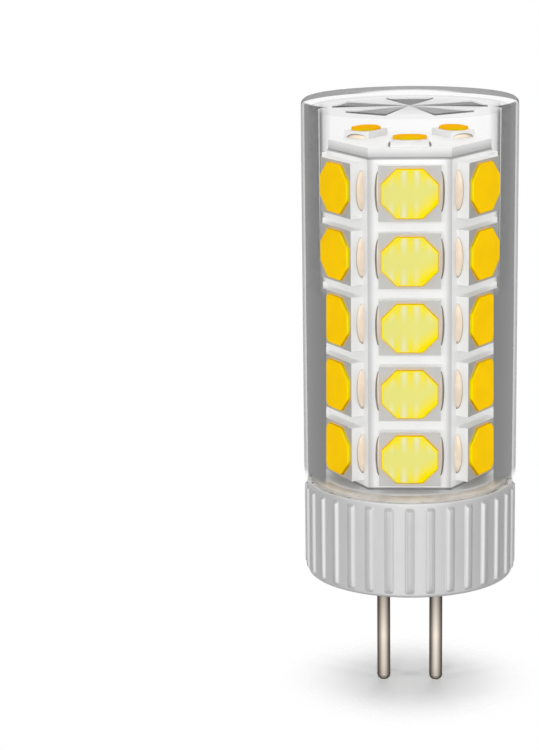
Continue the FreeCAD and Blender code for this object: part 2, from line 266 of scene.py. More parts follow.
class Nodes:
    def __init__(self, owner):
        owner.use_nodes = True
        self.owner = owner
        self.tree = owner.node_tree
        self.tree.nodes.clear()

    def add(self, kind, inputs=None, **settings):
        node = self.tree.nodes.new(kind)
        for key, value in settings.items():
            setattr(node, key, value)
        for key, value in (inputs or {}).items():
            if isinstance(value, bpy.types.NodeSocket):
                self.tree.links.new(value, node.inputs[key])
            else:
                node.inputs[key].default_value = value
        return node

    def math(self, operation, a, b=0.0, clamp=False):
        return self.add("ShaderNodeMath", {0: a, 1: b}, operation=operation, use_clamp=clamp).outputs[0]

    def ramp(self, value, low, high, to_low=0.0, to_high=1.0, smooth=True):
        node = self.add(
            "ShaderNodeMapRange",
            {"Value": value, "From Min": low, "From Max": high, "To Min": to_low, "To Max": to_high},
            interpolation_type="SMOOTHSTEP" if smooth else "LINEAR",
        )
        return node.outputs["Result"]

    def mix(self, factor, a, b):
        node = self.add("ShaderNodeMix", data_type="RGBA")
        for socket, value in zip((node.inputs[0], node.inputs[6], node.inputs[7]), (factor, a, b)):
            if isinstance(value, bpy.types.NodeSocket):
                self.tree.links.new(value, socket)
            else:
                socket.default_value = value
        return node.outputs[2]

    def product(self, a, b):
        node = self.add("ShaderNodeMix", data_type="RGBA", blend_type="MULTIPLY")
        node.inputs[0].default_value = 1.0
        self.tree.links.new(a, node.inputs[6])
        self.tree.links.new(b, node.inputs[7])
        return node.outputs[2]

    # Grey that runs through the given (position, level) stops
    def curve(self, value, stops):
        node = self.add("ShaderNodeValToRGB", {"Fac": value})
        points = node.color_ramp.elements
        points[0].color = rgba(*[stops[0][1]] * 3)
        points[1].color = rgba(*[stops[-1][1]] * 3)
        for position, level in stops[1:-1]:
            points.new(position).color = rgba(level, level, level)
        return node.outputs["Color"]

    def noise(self, scale, detail=3.0, roughness=0.5, stretch=None):
        place = self.add("ShaderNodeTexCoord").outputs["Object"]
        if stretch:
            place = self.add("ShaderNodeMapping", {"Vector": place, "Scale": stretch}).outputs[0]
        return self.add(
            "ShaderNodeTexNoise",
            {"Vector": place, "Scale": scale, "Detail": detail, "Roughness": roughness},
        ).outputs["Fac"]

    def bump(self, height, strength, distance_mm):
        return self.add(
            "ShaderNodeBump", {"Height": height, "Strength": strength, "Distance": distance_mm * MM}
        ).outputs[0]

    def geometry(self, output):
        return self.add("ShaderNodeNewGeometry").outputs[output]

    def split(self, vector):
        return self.add("ShaderNodeSeparateXYZ", {0: vector}).outputs

    # Position in millimetres
    def place(self):
        spot = self.split(self.geometry("Position"))
        return [self.math("DIVIDE", spot[axis], MM) for axis in "XYZ"]

    # Distance from the bulb's axis
    def radius(self, x, y):
        return self.math("SQRT", self.math("ADD", self.math("MULTIPLY", x, x), self.math("MULTIPLY", y, y)))

    # Distance along a face of the column, from the face's middle
    def across(self, x, y, normal):
        from_y = self.math("MULTIPLY", y, normal["X"])
        from_x = self.math("MULTIPLY", x, normal["Y"])
        return self.math("SUBTRACT", from_y, from_x)

    # Noise spread over a range of levels
    def vary(self, noise, low=0.0, high=1.0):
        return self.ramp(noise, *NOISE_SPAN, low, high)

    def grey(self, level):
        return self.add("ShaderNodeCombineColor", {0: level, 1: level, 2: level}).outputs[0]

    def facing(self):
        return self.add("ShaderNodeLayerWeight", {"Blend": 0.5}).outputs["Facing"]

    # How far a round wall turns sideways from the eye
    def sideways(self):
        along = self.add("ShaderNodeTangent", direction_type="RADIAL", axis="Z").outputs[0]
        facing = self.add("ShaderNodeLayerWeight", {"Blend": 0.5, "Normal": along}).outputs["Facing"]
        return self.math("SUBTRACT", 1.0, facing)

    def principled(self, inputs):
        return self.add("ShaderNodeBsdfPrincipled", inputs).outputs[0]

    def glossy(self, colour, roughness):
        return self.add("ShaderNodeBsdfGlossy", {"Color": colour, "Roughness": roughness}).outputs[0]

    def transparent(self, colour):
        return self.add("ShaderNodeBsdfTransparent", {"Color": colour}).outputs[0]

    def shader_mix(self, factor, a, b):
        return self.add("ShaderNodeMixShader", {0: factor, 1: a, 2: b}).outputs[0]

    def finish(self, shader, output="ShaderNodeOutputMaterial"):
        self.add(output, {"Surface": shader})
        return self.owner


def rgba(red, green, blue):
    return (red, green, blue, 1.0)


# A satin or matt surface whose colour, gloss and grain vary a little
def grained(name, dark, light, rough, grain_mm, bump_strength, metallic=0.0):
    n = Nodes(bpy.data.materials.new(name))
    cloud = n.noise(1 / (grain_mm * MM), 4.0, 0.6)
    grain = n.noise(9 / (grain_mm * MM), 2.0, 0.5)
    return n.finish(n.principled({
        "Base Color": n.mix(n.vary(cloud), rgba(*dark), rgba(*light)),
        "Roughness": n.vary(grain, rough - 0.05, rough + 0.05),
        "Metallic": metallic,
        "Normal": n.bump(grain, bump_strength, GRAIN_DEPTH),
    }))


# Clear plastic that takes away light by the angle it is seen at, with a curve for each side of a wall; the
# curves are partly absorption and partly painted shade and painted reflection
def cover_material(name, near, far, mirror=None, low=BELOW_ALL_Z, high=ABOVE_ALL_Z, far_high=ABOVE_ALL_Z,
                   banded=False, centre_shade=(1.0, 1.0)):
    n = Nodes(bpy.data.materials.new(name))
    facing = n.facing()
    x, y, z = n.place()
    back = n.geometry("Backfacing")
    above = n.ramp(z, low, low + BAND_FOOT_FADE)
    near_depth = n.math("MULTIPLY", above, n.ramp(z, high - RIM_FADE, high, 1.0, 0.0))
    far_fade = n.ramp(z, far_high - FAR_FADE[0], far_high - FAR_FADE[1], 1.0, 0.0)
    far_depth = n.math("MULTIPLY", above, far_fade)
    if banded:
        near_depth = n.math("MULTIPLY", near_depth, n.ramp(n.sideways(), *WALL_START))
    if mirror:
        far_depth = n.math("MULTIPLY", far_depth, n.ramp(n.sideways(), *WALL_START))
    # Partly absorption, partly painted shade of dark surroundings seen in the wall
    near_tint = n.mix(near_depth, WHITE, n.curve(facing, near))
    far_tint = n.mix(far_depth, WHITE, n.curve(facing, far))
    grain_and_centre_shade = n.vary(n.noise(60.0, 2.0, 0.5, WALL_GRAIN), 0.97, 1.0)
    # Painted shade: the star's lands are tinted grey, most at the centre, and its facets are let through a
    # little more there
    grain_and_centre_shade = n.math("MULTIPLY", grain_and_centre_shade, n.ramp(n.radius(x, y), *STAR_FADE, *centre_shade))
    clear = n.transparent(n.product(n.mix(back, near_tint, far_tint), n.grey(grain_and_centre_shade)))
    outside = n.math("SUBTRACT", 1.0, back)
    shine = n.math("MULTIPLY", n.math("POWER", facing, 5.0), 0.2)
    shine = n.math("MULTIPLY", n.math("ADD", shine, 0.004), outside)
    body = n.shader_mix(shine, clear, n.glossy(WHITE, 0.04))
    # Painted reflection: a grey gloss on the sides of the lower wall stands in for dark surroundings
    # mirrored there
    if mirror:
        share = n.math("MULTIPLY", n.curve(facing, mirror), n.ramp(z, *MIRROR_STEP_Z, 1.0, 0.0))
        share = n.math("MULTIPLY", share, n.ramp(n.sideways(), *MIRROR_START))
        share = n.math("MULTIPLY", share, n.math("MULTIPLY", near_depth, outside))
        level = n.ramp(facing, *MIRROR_TURN, *MIRROR_LEVEL, smooth=False)
        body = n.shader_mix(share, body, n.glossy(n.grey(level), 0.1))
    path = n.add("ShaderNodeLightPath").outputs
    light = n.math("MAXIMUM", path["Is Shadow Ray"], path["Is Diffuse Ray"])
    light = n.math("MAXIMUM", light, path["Is Glossy Ray"])
    return n.finish(n.shader_mix(light, body, n.transparent(WHITE)))


# LED window: deep yellow, with a painted reflection where it faces the eye: a pale, streaked satin sheen
def phosphor_material(name, deep, rich, pale_reflection, white):
    n = Nodes(bpy.data.materials.new(name))
    spot = n.split(n.add("ShaderNodeUVMap", uv_map="window").outputs[0])
    across, along = spot["X"], spot["Y"]
    rim = n.add("ShaderNodeAttribute", attribute_name="rim").outputs["Fac"]
    cloud = n.noise(700.0, 3.0, 0.55)
    ends = n.ramp(n.math("ABSOLUTE", along), 0.1, 0.95)
    wave = n.math("SINE", n.math("ADD", n.math("MULTIPLY", across, WINDOW_WAVES), WINDOW_WAVE_SHIFT))
    depth = n.math("MULTIPLY", ends, STREAK_SHARE)
    yellow_streak = n.math("MULTIPLY", n.ramp(wave, 0.0, 1.0), depth)
    white_streak = n.math("MULTIPLY", n.ramp(wave, 0.0, -1.0), depth)
    falling = n.math("SUBTRACT", across, along)
    rising = n.math("ADD", across, along)
    corners = n.math("MAXIMUM", n.ramp(falling, 0.5, 1.35), n.ramp(falling, -0.95, -1.4, 0.0, 0.9))
    corners = n.math("MAXIMUM", corners, n.ramp(rising, 1.05, 1.4, 0.0, 0.8))
    edge = n.ramp(rim, 0.87, 0.985)
    share = n.math("MAXIMUM", n.math("MAXIMUM", yellow_streak, corners), edge)
    share = n.math("ADD", share, n.vary(cloud, -0.08, 0.08), clamp=True)
    painted_sheen = n.mix(share, n.mix(white_streak, rgba(*pale_reflection), rgba(*white)), rgba(*rich))
    side = n.mix(n.ramp(cloud, 0.35, 0.65), rgba(*[0.95 * c for c in deep]), rgba(*deep))
    turn = n.ramp(n.facing(), *PAINTED_SHEEN_TURN)
    body = n.principled({"Base Color": side, "Roughness": 0.5, "Specular IOR Level": 0.0})
    # Painted reflection: the haze is pale where the window faces the eye and deep yellow where it turns away
    haze = n.glossy(n.mix(turn, painted_sheen, side), 0.45)
    return n.finish(n.shader_mix(WINDOW_HAZE, body, haze))


# Plated metal with a painted highlight where it faces the eye and painted shade at its edges, painted shade
# near the base and darker towards the tip
def pin_material(name):
    n = Nodes(bpy.data.materials.new(name))
    lines = n.noise(2200.0, 2.0, 0.6, PIN_GRAIN)
    down = n.math("DIVIDE", n.place()[2], -PIN_LENGTH)
    # Painted highlight and shade across the pin, painted shade near the base
    pin_shade = n.product(n.curve(n.facing(), PIN_EDGE_SHADE), n.curve(down, PIN_END_SHADE))
    warm = n.mix(n.vary(lines), rgba(0.96, 0.85, 0.73), rgba(1.0, 0.90, 0.78))
    return n.finish(n.principled({
        "Base Color": n.product(warm, pin_shade),
        "Metallic": 1.0,
        "Roughness": 0.36,
        "Specular Tint": rgba(0.2, 0.19, 0.17),
        "Normal": n.bump(lines, 0.12, 0.01),
    }))


# Solder: cream where it faces the eye, with painted shade turning it brown where it turns away
def solder_material(name):
    n = Nodes(bpy.data.materials.new(name))
    cloud = n.noise(1200.0, 3.0, 0.55)
    cream = n.mix(n.vary(cloud), rgba(0.80, 0.66, 0.51), rgba(0.86, 0.73, 0.59))
    # Painted shade: brown where the surface turns from the eye
    turn = n.ramp(n.facing(), 0.11, 0.44)
    return n.finish(n.principled({
        "Base Color": n.mix(turn, cream, rgba(0.24, 0.20, 0.165)),
        "Roughness": 0.4,
        "Metallic": 0.2,
        "Specular IOR Level": 0.3,
        "Normal": n.bump(cloud, 0.06, GRAIN_DEPTH),
    }))


# White solder mask: every second face is a little darker, with painted shade towards its folds; the lid's
# edge is a little greyer, and dark lines mark the joints above and below
def board_material(name):
    n = Nodes(bpy.data.materials.new(name))
    x, y, z = n.place()
    cloud = n.noise(330.0, 4.0, 0.6)
    lid = n.ramp(z, COLUMN_TOP_Z, COLUMN_TOP_Z + 0.05)
    up = n.ramp(n.split(n.geometry("Normal"))["Z"], 0.4, 0.8)
    normal = n.split(n.geometry("True Normal"))
    forward = n.math("MULTIPLY", normal["Y"], -1.0)
    cube = n.math("MULTIPLY", n.math("POWER", n.math("ABSOLUTE", forward), 2.0), forward)
    third = n.math("SUBTRACT", n.math("MULTIPLY", cube, 4.0), n.math("MULTIPLY", forward, 3.0))
    across = n.math("ABSOLUTE", n.across(x, y, normal))
    # Painted shade: every second face darkens towards its folds
    fold_shade = n.ramp(across, FACE_HALF_WIDTH - 0.6, FACE_HALF_WIDTH)
    fold_shade = n.mix(fold_shade, rgba(0.89, 0.89, 0.885), rgba(0.58, 0.58, 0.58))
    shaded_sheet = n.mix(n.ramp(third, -0.2, 0.2), rgba(0.94, 0.94, 0.935), fold_shade)
    edge = n.mix(n.ramp(z, COLUMN_TOP_Z, TOP_BOARD_Z), rgba(0.55, 0.55, 0.55), rgba(0.86, 0.86, 0.855))
    white = n.mix(up, n.mix(lid, shaded_sheet, edge), rgba(0.92, 0.92, 0.915))
    above = n.ramp(n.math("ABSOLUTE", n.math("SUBTRACT", z, COLUMN_TOP_Z)), 0.04, 0.12, 0.55, 1.0)
    below = n.ramp(z, BASE_HEIGHT + 0.5, BASE_HEIGHT + 0.62, 0.3, 1.0)
    level = n.math("MULTIPLY", n.math("MINIMUM", above, below), n.vary(cloud, 0.97, 1.0))
    colour = n.product(white, n.grey(level))
    body = n.principled({
        "Base Color": colour,
        "Roughness": n.vary(cloud, 0.36, 0.44),
        "Normal": n.bump(cloud, 0.04, GRAIN_DEPTH),
    })
    return n.finish(n.shader_mix(n.ramp(up, 0.0, 1.0, 0.5, 0.6), body, n.glossy(colour, 0.6)))


# LED body with a warm glow painted on the plastic around its window, standing in for light from the window,
# and a painted sheen
def package_material(name):
    n = Nodes(bpy.data.materials.new(name))
    x, y, z = n.place()
    normal = n.split(n.geometry("True Normal"))
    across = n.math("ABSOLUTE", n.across(x, y, normal))
    row = n.math("ADD", n.math("SUBTRACT", z, LED_TOP_ROW_Z), LED_PITCH / 2)
    along = n.math("ABSOLUTE", n.math("SUBTRACT", n.math("FLOORED_MODULO", row, LED_PITCH), LED_PITCH / 2))
    width, height, cut = WINDOW[0] / 2, WINDOW[1] / 2, WINDOW[2]
    slant = n.math("SUBTRACT", n.math("ADD", across, along), width + height - cut)
    gap = n.math("MAXIMUM", n.math("SUBTRACT", across, width), n.math("SUBTRACT", along, height))
    gap = n.math("MAXIMUM", gap, n.math("MULTIPLY", slant, math.sqrt(0.5)))
    # Painted light: a warm glow around the window stands in for light thrown back from the window
    glow = n.ramp(gap, 0.0, 0.24, 0.55, 0.0)
    wall = n.math("GREATER_THAN", across, LED_WIDTH / 2 + 0.1)
    wall = n.math("MAXIMUM", wall, n.math("GREATER_THAN", n.math("ABSOLUTE", normal["Z"]), 0.7))
    cloud = n.noise(900.0, 3.0, 0.55)
    grey = n.mix(n.vary(cloud), rgba(0.42, 0.415, 0.405), rgba(0.46, 0.455, 0.445))
    front = n.mix(glow, grey, rgba(0.74, 0.54, 0.30))
    body = n.principled({
        "Base Color": n.mix(wall, front, rgba(0.88, 0.88, 0.87)),
        "Roughness": 0.5,
        "Normal": n.bump(cloud, 0.04, GRAIN_DEPTH),
    })
    haze = n.glossy(n.mix(wall, rgba(0.66, 0.65, 0.63), rgba(0.95, 0.95, 0.94)), 0.5)
    # Painted sheen: a grey haze where the front faces the eye, and a pale haze over the walls
    painted_sheen = n.ramp(n.facing(), *PAINTED_SHEEN_TURN, 0.5, 0.0)
    painted_sheen = n.math("MULTIPLY", painted_sheen, n.math("SUBTRACT", 1.0, n.math("MAXIMUM", wall, glow)))
    painted_sheen = n.math("MAXIMUM", painted_sheen, n.math("MULTIPLY", wall, 0.55))
    return n.finish(n.shader_mix(painted_sheen, body, haze))


# Glazed ceramic under a satin haze that is a painted sheen, strongest where it faces the eye: painted shade
# on the ribs' crowns and upper ends, painted highlights on their flanks
def ceramic_material(name):
    n = Nodes(bpy.data.materials.new(name))
    x, y, z = n.place()
    away = n.radius(x, y)
    crown_shade = n.ramp(away, BASE_RADIUS - 0.1, BASE_RADIUS - 0.02)
    flank = n.ramp(away, BASE_RADIUS - RIB_HEIGHT, BASE_RADIUS - RIB_HEIGHT + 0.06)
    cloud = n.noise(400.0, 4.0, 0.6)
    grain = n.noise(3600.0, 2.0, 0.5)
    up = n.split(n.geometry("Normal"))["Z"]
    below_rim = n.math("LESS_THAN", z, BASE_HEIGHT - RIM_HEIGHT + 0.01)
    # Painted shade on the upward-facing upper ends of the ribs
    end_shade = n.math("MULTIPLY", n.ramp(up, 0.1, 0.5), below_rim)
    inside = n.math("GREATER_THAN", z, BASE_HEIGHT + 0.02)

    def glazed(valley, side, top, end_shade_level, within):
        colour = n.mix(n.vary(cloud), rgba(*[0.98 * valley] * 3), rgba(*[1.02 * valley] * 3))
        # Painted shade on the crowns, painted highlight on the flanks
        colour = n.mix(crown_shade, n.mix(flank, colour, rgba(*[side] * 3)), rgba(*[top] * 3))
        return n.mix(end_shade, n.mix(inside, colour, rgba(*[within] * 3)), rgba(*[end_shade_level] * 3))

    body = n.principled({
        "Base Color": glazed(0.50, 0.66, 0.43, 0.36, 0.46),
        "Roughness": n.vary(grain, 0.28, 0.34),
        "Normal": n.bump(grain, 0.012, GRAIN_DEPTH),
    })
    haze = n.glossy(glazed(0.85, 0.97, 0.73, 0.6, 0.5), 0.5)
    return n.finish(n.shader_mix(n.curve(n.facing(), PAINTED_GLAZE_SHEEN), body, haze))


MATERIALS = {
    "ceramic": ceramic_material("ceramic"),
    "adhesive": grained("adhesive", (0.47, 0.44, 0.40), (0.59, 0.555, 0.51), 0.4, 1.2, 0.08),
    "white_board": board_material("white_board"),
    "led_body": package_material("led_body"),
    "led_body_top": grained("led_body_top", (0.68, 0.68, 0.675), (0.72, 0.72, 0.715), 0.5, 1.0, 0.06),
    "solder": solder_material("solder"),
    "green_board": grained("green_board", (0.02, 0.12, 0.045), (0.03, 0.16, 0.06), 0.4, 2.0, 0.08),
    "black_plastic": grained("black_plastic", (0.012, 0.012, 0.013), (0.02, 0.02, 0.022), 0.5, 0.8, 0.15),
    "ferrite": grained("ferrite", (0.03, 0.03, 0.032), (0.05, 0.05, 0.053), 0.6, 0.7, 0.3),
    "can": grained("can", (0.55, 0.56, 0.57), (0.62, 0.63, 0.64), 0.32, 1.5, 0.05, metallic=0.9),
    "resistor": grained("resistor", (0.01, 0.01, 0.011), (0.018, 0.018, 0.02), 0.25, 0.6, 0.1),
    "wire_red": grained("wire_red", (0.40, 0.012, 0.008), (0.48, 0.02, 0.012), 0.4, 1.0, 0.08),
    "wire_white": grained("wire_white", (0.70, 0.70, 0.68), (0.78, 0.78, 0.76), 0.4, 1.0, 0.08),
    "phosphor": phosphor_material(
        "phosphor", (1.0, 0.63, 0.001), (0.97, 0.83, 0.0), (0.80, 0.81, 0.26), (0.83, 0.84, 0.62)),
    "phosphor_top": phosphor_material(
        "phosphor_top", (0.97, 0.50, 0.004), (0.80, 0.56, 0.0), (0.80, 0.56, 0.02), (0.80, 0.60, 0.1)),
    "pin_metal": pin_material("pin_metal"),
    "cover": cover_material(
        "cover", WALL_NEAR, WALL_FAR, WALL_MIRROR, low=BAND_FOOT_Z, far_high=COVER_TOP_Z - COVER_TOP_RADIUS,
        banded=True),
    "cover_inside": cover_material("cover_inside", CLEAR, CLEAR),
    "cover_rim": cover_material("cover_rim", WALL_NEAR, RIM_FAR, high=RIM_BAND_Z, banded=True),
    "cover_ring": cover_material("cover_ring", RING, RING),
    "cover_edge": cover_material("cover_edge", EDGE_NEAR, EDGE_FAR),
    "cover_facet": cover_material("cover_facet", FACET, FACET, centre_shade=(1.1, 1.0)),
    "cover_land": cover_material("cover_land", CLEAR, CLEAR, centre_shade=(0.72, 0.86)),
}


# Cover with its rounded rims and the star under its top


def clear_cover():
    low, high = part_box("clear_cover")
    foot, top, radius = low.z / MM, COVER_TOP_Z, high.x / MM
    bore = radius - COVER_WALL
    ceiling = top - COVER_CEILING
    inner = COVER_INNER_RADIUS
    count = COVER_SEGMENTS
    profile = [(bore, foot)]
    profile += arc(radius - COVER_FOOT_RADIUS, foot + COVER_FOOT_RADIUS, COVER_FOOT_RADIUS, -90, 0)
    profile += arc(radius - COVER_TOP_RADIUS, top - COVER_TOP_RADIUS, COVER_TOP_RADIUS, 0, 90)
    verts, faces = [], []
    start = math.radians(STAR_START_DEG) - math.pi / (2 * STAR_POINTS)
    surfaces = ["cover", "cover_inside", "cover_rim", "cover_ring"]
    surfaces += ["cover_edge", "cover_facet", "cover_land"]
    kinds = []

    def mark(kind):
        kinds.extend([surfaces.index(kind)] * (len(faces) - len(kinds)))

    outer = [ring(verts, r, z, count, start) for r, z in profile]
    for a, b in zip(outer, outer[1:]):
        bridge(faces, a, b)
        mark("cover_rim" if verts[a[0]][2] > top - COVER_TOP_RADIUS - 0.001 else "cover")
    verts.append((0, 0, top))
    fan(faces, outer[-1], len(verts) - 1)
    inside = [(bore, foot)] + arc(bore - inner, ceiling - inner, inner, 0, 90)
    rings = [outer[0]] + [ring(verts, r, z, count, start) for r, z in inside[1:]]
    bridge(faces, rings[1], rings[0])
    mark("cover_inside")
    for a, b in zip(rings[1:], rings[2:]):
        bridge(faces, b, a)
    mark("cover_ring")
    star(verts, faces, rings[-1], ceiling, start, mark)
    piece = make_piece("cover_shell", verts, faces, MATERIALS["cover"], "clear_cover", 25.0)
    for kind in surfaces[1:]:
        piece.data.materials.append(MATERIALS[kind])
    piece.data.polygons.foreach_set("material_index", kinds)
    return piece


# Star of wedges inside a ring: every second sector slopes down from the centre
def star(verts, faces, outside, z, start, mark):
    count = len(outside)
    sectors = 2 * STAR_POINTS
    per = count // sectors
    corner = [Vector((STAR_RADIUS * math.cos(a), STAR_RADIUS * math.sin(a), z))
              for a in (start + 2 * math.pi * k / sectors for k in range(sectors))]
    loop = []
    for k in range(sectors):
        for i in range(per):
            loop.append(len(verts))
            verts.append(tuple(corner[k].lerp(corner[(k + 1) % sectors], i / per)))
    bridge(faces, loop, outside)
    mark("cover_ring")
    verts.append((0, 0, z))
    tip = len(verts) - 1
    for k in range(sectors):
        edge = [loop[(k * per + i) % count] for i in range(per + 1)]
        if k % 2:
            for a, b in zip(edge, edge[1:]):
                faces.append((b, a, tip))
            mark("cover_land")
            continue
        drop = []
        for index in edge:
            drop.append(len(verts))
            x, y, height = verts[index]
            verts.append((x, y, height - STAR_DROP))
        for i in range(per):
            faces.append((edge[i + 1], edge[i], drop[i], drop[i + 1]))
        mark("cover_edge")
        for i in range(per):
            faces.append((drop[i + 1], drop[i], tip))
        mark("cover_facet")
        faces.append((edge[0], tip, drop[0]))
        faces.append((tip, edge[-1], drop[-1]))
        mark("cover_edge")


# Ribbed base


def ease(share):
    share = min(max(share, 0.0), 1.0)
    return share * share * (3 - 2 * share)


# How far a rib stands out, with rounded flanks and ends
def rib_rise(across, z):
    flank = ease((RIB_HALF_WIDTH - abs(across)) / RIB_FLANK)
    end = ease((min(z, BASE_HEIGHT - z) - RIM_HEIGHT) / RIB_END)
    return RIB_HEIGHT * flank * end


def ceramic_base():
    rib_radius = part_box("ceramic_base")[1].x / MM
    core = rib_radius - RIB_HEIGHT
    spigot_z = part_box("ceramic_base")[1].z / MM
    pitch = 2 * math.pi * core / RIB_COUNT
    quarter = math.pi / 2
    steps = [RIB_HALF_WIDTH * math.sin(quarter * i / RIB_STEPS) for i in range(RIB_STEPS + 1)] + VALLEY_STEPS
    offsets = [-s for s in reversed(steps[1:])] + steps
    angles = []
    for i in range(RIB_COUNT):
        middle = 2 * math.pi * i / RIB_COUNT - quarter
        angles += [middle + 2 * math.pi * o / (pitch * RIB_COUNT) for o in offsets]
    turns = [quarter * i / RIB_END_STEPS for i in range(RIB_END_STEPS + 1)]
    ends = [RIM_HEIGHT + RIB_END * (1 - math.cos(turn)) for turn in turns]
    levels = sorted(ends + WALL_LEVELS + [BASE_HEIGHT - e for e in ends])
    verts, faces = [], []

    def wall(z):
        first = len(verts)
        for i, a in enumerate(angles):
            r = core + rib_rise(offsets[i % len(offsets)], z)
            verts.append((r * math.cos(a), r * math.sin(a), z))
        return list(range(first, len(verts)))

    def plain(r, z):
        first = len(verts)
        verts.extend((r * math.cos(a), r * math.sin(a), z) for a in angles)
        return list(range(first, len(verts)))

    edge, shoulder = BASE_EDGE, BASE_TOP_EDGE
    rings = [plain(r, z) for r, z in arc(core - edge, edge, edge, -90, 0, 6)]
    rings += [wall(z) for z in levels]
    rings += [plain(r, z) for r, z in arc(core - shoulder, BASE_HEIGHT - shoulder, shoulder, 0, 90, 4)]
    rings += [plain(SPIGOT_RADIUS, BASE_HEIGHT), plain(SPIGOT_RADIUS, spigot_z - SPIGOT_EDGE)]
    rings += [plain(SPIGOT_RADIUS - SPIGOT_EDGE, spigot_z), plain(POCKET_RADIUS, spigot_z)]
    rings += [plain(POCKET_RADIUS, FLOOR_THICKNESS)]
    for a, b in zip(rings, rings[1:]):
        bridge(faces, a, b)
    faces.append(tuple(rings[-1]))
    faces.append(tuple(reversed(rings[0])))
    piece = make_piece("base_ribbed", verts, faces, MATERIALS["ceramic"], "ceramic_base", 50.0)
    drill(piece)
    return piece


# Cuts the two pin holes through the floor of the base
def drill(piece):
    verts, faces = [], []
    ends = [(PIN_HOLE_RADIUS, -HOLE_REACH), (PIN_HOLE_RADIUS, FLOOR_THICKNESS + HOLE_REACH)]
    for x in (-PIN_SPACING / 2, PIN_SPACING / 2):
        first = len(verts)
        rings = lathe(verts, faces, ends, HOLE_SEGMENTS)
        faces.append(tuple(rings[-1]))
        faces.append(tuple(reversed(rings[0])))
        for i in range(first, len(verts)):
            verts[i] = (verts[i][0] + x, verts[i][1], verts[i][2])
    mesh = bpy.data.meshes.new("drill")
    mesh.from_pydata([Vector(v) * MM for v in verts], [], faces)
    cutter = bpy.data.objects.new("drill", mesh)
    bpy.context.scene.collection.objects.link(cutter)
    cut = piece.modifiers.new("holes", "BOOLEAN")
    cut.object = cutter
    cut.solver = "EXACT"
    bpy.context.view_layer.update()
    solid = piece.evaluated_get(bpy.context.evaluated_depsgraph_get())
    drilled = bpy.data.meshes.new_from_object(solid)
    piece.modifiers.clear()
    piece.data = drilled
    bpy.data.objects.remove(cutter)


# Adhesive bead with a slightly uneven top


def cover_adhesive():
    low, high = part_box("cover_adhesive")
    outer = high.x / MM
    z = low.z / MM
    verts, faces = [], []
    rows = [(SPIGOT_RADIUS, 0.0)] + [(outer - inset, h) for inset, h in ADHESIVE_PROFILE]
    rows.append((SPIGOT_RADIUS, ADHESIVE_INNER_HEIGHT))
    rings = []
    for r, h in rows:
        first = len(verts)
        depth = ADHESIVE_WOBBLE if h > ADHESIVE_WAVY_FROM else 0.0
        for i in range(ADHESIVE_SEGMENTS):
            a = 2 * math.pi * i / ADHESIVE_SEGMENTS
            wobble = depth * (math.sin(5 * a + 1.0) + math.sin(11 * a))
            verts.append((r * math.cos(a), r * math.sin(a), z + min(h + wobble, high.z / MM - z)))
        rings.append(list(range(first, len(verts))))
    for a, b in zip(rings, rings[1:] + rings[:1]):
        bridge(faces, a, b)
    return make_piece("adhesive_bead", verts, faces, MATERIALS["adhesive"], "cover_adhesive")


# LED windows and solder joints, laid flat and then set on a face


def octagon(width, height, cut, inset):
    x, y = width / 2 - inset, height / 2 - inset
    c = cut - inset * (2 - math.sqrt(2))
    corners = [(x - c, -y), (x, -y + c), (x, y - c), (x - c, y),
               (-x + c, y), (-x, y - c), (-x, -y + c), (-x + c, -y)]
    points = []
    for (ax, ay), (bx, by) in zip(corners, corners[1:] + corners[:1]):
        for i in range(WINDOW_EDGE_STEPS):
            share = i / WINDOW_EDGE_STEPS
            points.append((ax + (bx - ax) * share, ay + (by - ay) * share))
    return points


# Verts, faces, window coordinates and rim shares of one bevelled eight-sided window
def window_shape(size, thickness):
    width, height, cut, proud = size
    base, top = thickness - WINDOW_SINK, thickness + proud
    deepest = min(width, height) / 2
    rows = [(0.0, base), (0.0, top - WINDOW_BEVEL)]
    for i in range(1, WINDOW_BEVEL_STEPS + 1):
        a = math.pi / 2 * i / WINDOW_BEVEL_STEPS
        rows.append((WINDOW_BEVEL * (1 - math.cos(a)), top - WINDOW_BEVEL * (1 - math.sin(a))))
    rows += [(deepest * share, top) for share in WINDOW_RINGS]
    verts, faces, rim, rings = [], [], [], []
    for inset, z in rows:
        first = len(verts)
        outline = octagon(width, height, cut, inset)
        verts += [(x, y, z) for x, y in outline]
        rim += [1 - inset / deepest] * len(outline)
        rings.append(list(range(first, len(verts))))
    for a, b in zip(rings, rings[1:]):
        bridge(faces, a, b)
    verts.append((0, 0, top))
    rim.append(0.0)
    fan(faces, rings[-1], len(verts) - 1)
    faces.append(tuple(reversed(rings[0])))
    spots = [(2 * x / width, 2 * y / height) for x, y, z in verts]
    return verts, faces, spots, rim


# Quarter-round solder joints on both sides of an LED, each closed by its two seats
def fillet_shape(half_width, size, columns=14, rows=7):
    length, reach, rise = size
    verts, faces = [], []
    for side in (1, -1):
        first = len(verts)
        verts.append((side * half_width, side * length / 2, 0))
        for i in range(1, columns):
            u = math.pi * i / columns
            for j in range(rows + 1):
                v = math.pi / 2 * j / rows
                x = half_width + reach * math.sin(u) * math.cos(v)
                verts.append((side * x, side * length / 2 * math.cos(u), rise * math.sin(u) * math.sin(v)))
        last = len(verts)
        verts.append((side * half_width, -side * length / 2, 0))
        grid = [[first + 1 + i * (rows + 1) + j for j in range(rows + 1)] for i in range(columns - 1)]
        for j in range(rows):
            faces.append((first, grid[0][j + 1], grid[0][j]))
            faces.append((last, grid[-1][j], grid[-1][j + 1]))
        for a, b in zip(grid, grid[1:]):
            for j in range(rows):
                faces.append((a[j], a[j + 1], b[j + 1], b[j]))
        faces.append((first, *[strip[0] for strip in grid], last))
        faces.append((last, *[strip[-1] for strip in reversed(grid)], first))
    return verts, faces


